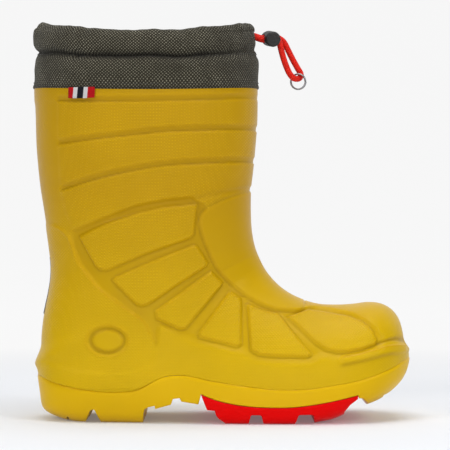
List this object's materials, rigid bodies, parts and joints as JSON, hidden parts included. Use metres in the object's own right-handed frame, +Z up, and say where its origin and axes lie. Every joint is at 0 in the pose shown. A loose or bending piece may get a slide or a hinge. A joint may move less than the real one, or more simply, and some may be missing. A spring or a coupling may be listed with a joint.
{
  "type": "deck boot",
  "caption": "Child's insulated pull-on boot with a moulded upper, lugged outsole, felt lining and a woven collar drawn in by an elastic cord with a spring lock.",
  "frame": {"origin": "on the ground, under the middle of the boot without its free cord", "axes": "+X to the toe, +Y to the inner side of the right foot, +Z up the shaft"},
  "size_m": [0.2246, 0.0945, 0.2364],
  "materials": {
    "upper_foam": "moulded polyurethane, satin",
    "outsole_rubber": "moulded, satin",
    "tread_rubber": "moulded, satin",
    "collar_cloth": "ballistic nylon weave",
    "facing_cloth": "plain lining cloth",
    "felt": "grey wool felt",
    "board": "fibre board",
    "reflective_film": "reflective film",
    "ribbon": "woven ribbon, striped",
    "elastic": "braided elastic",
    "lock_plastic": "black, fine grain",
    "spring_steel": "drawn wire",
    "ring_steel": "darkened steel"
  },
  "bodies": {
    "boot": {"outsole": "outsole_rubber", "forefoot_tread": "tread_rubber", "upper_shell": "upper_foam", "reflective_strip": "reflective_film", "insole_board": "board", "felt_lining": "felt", "footbed": "felt", "snow_collar": "collar_cloth", "collar_facing": "facing_cloth", "ribbon_tag": "ribbon", "drawcord_run": "elastic", "drawcord_loop": "elastic"},
    "lock": {"lock_barrel": "lock_plastic", "lock_spring": "spring_steel"},
    "button": {"lock_plunger": "lock_plastic"},
    "ring": {"split_ring": "ring_steel"}
  },
  "joints": [
    {"name": "lock_slide", "type": "slide", "parent": "boot", "child": "lock", "axis": [0.9837, 0.1784, 0.0238], "range_m": [-0.002, 0]},
    {"name": "button_press", "type": "slide", "parent": "lock", "child": "button", "axis": [0.18, -0.975, -0.13], "range_m": [0, 0.002], "stiffness_N_per_m": 600, "springref_m": -0.004},
    {"name": "ring_swing", "type": "hinge", "parent": "boot", "child": "ring", "pos_m": [0.046, -0.0002, 0.2051], "axis": [0.342, 0.9397, 0], "range_deg": [-20, 35]}
  ]
}
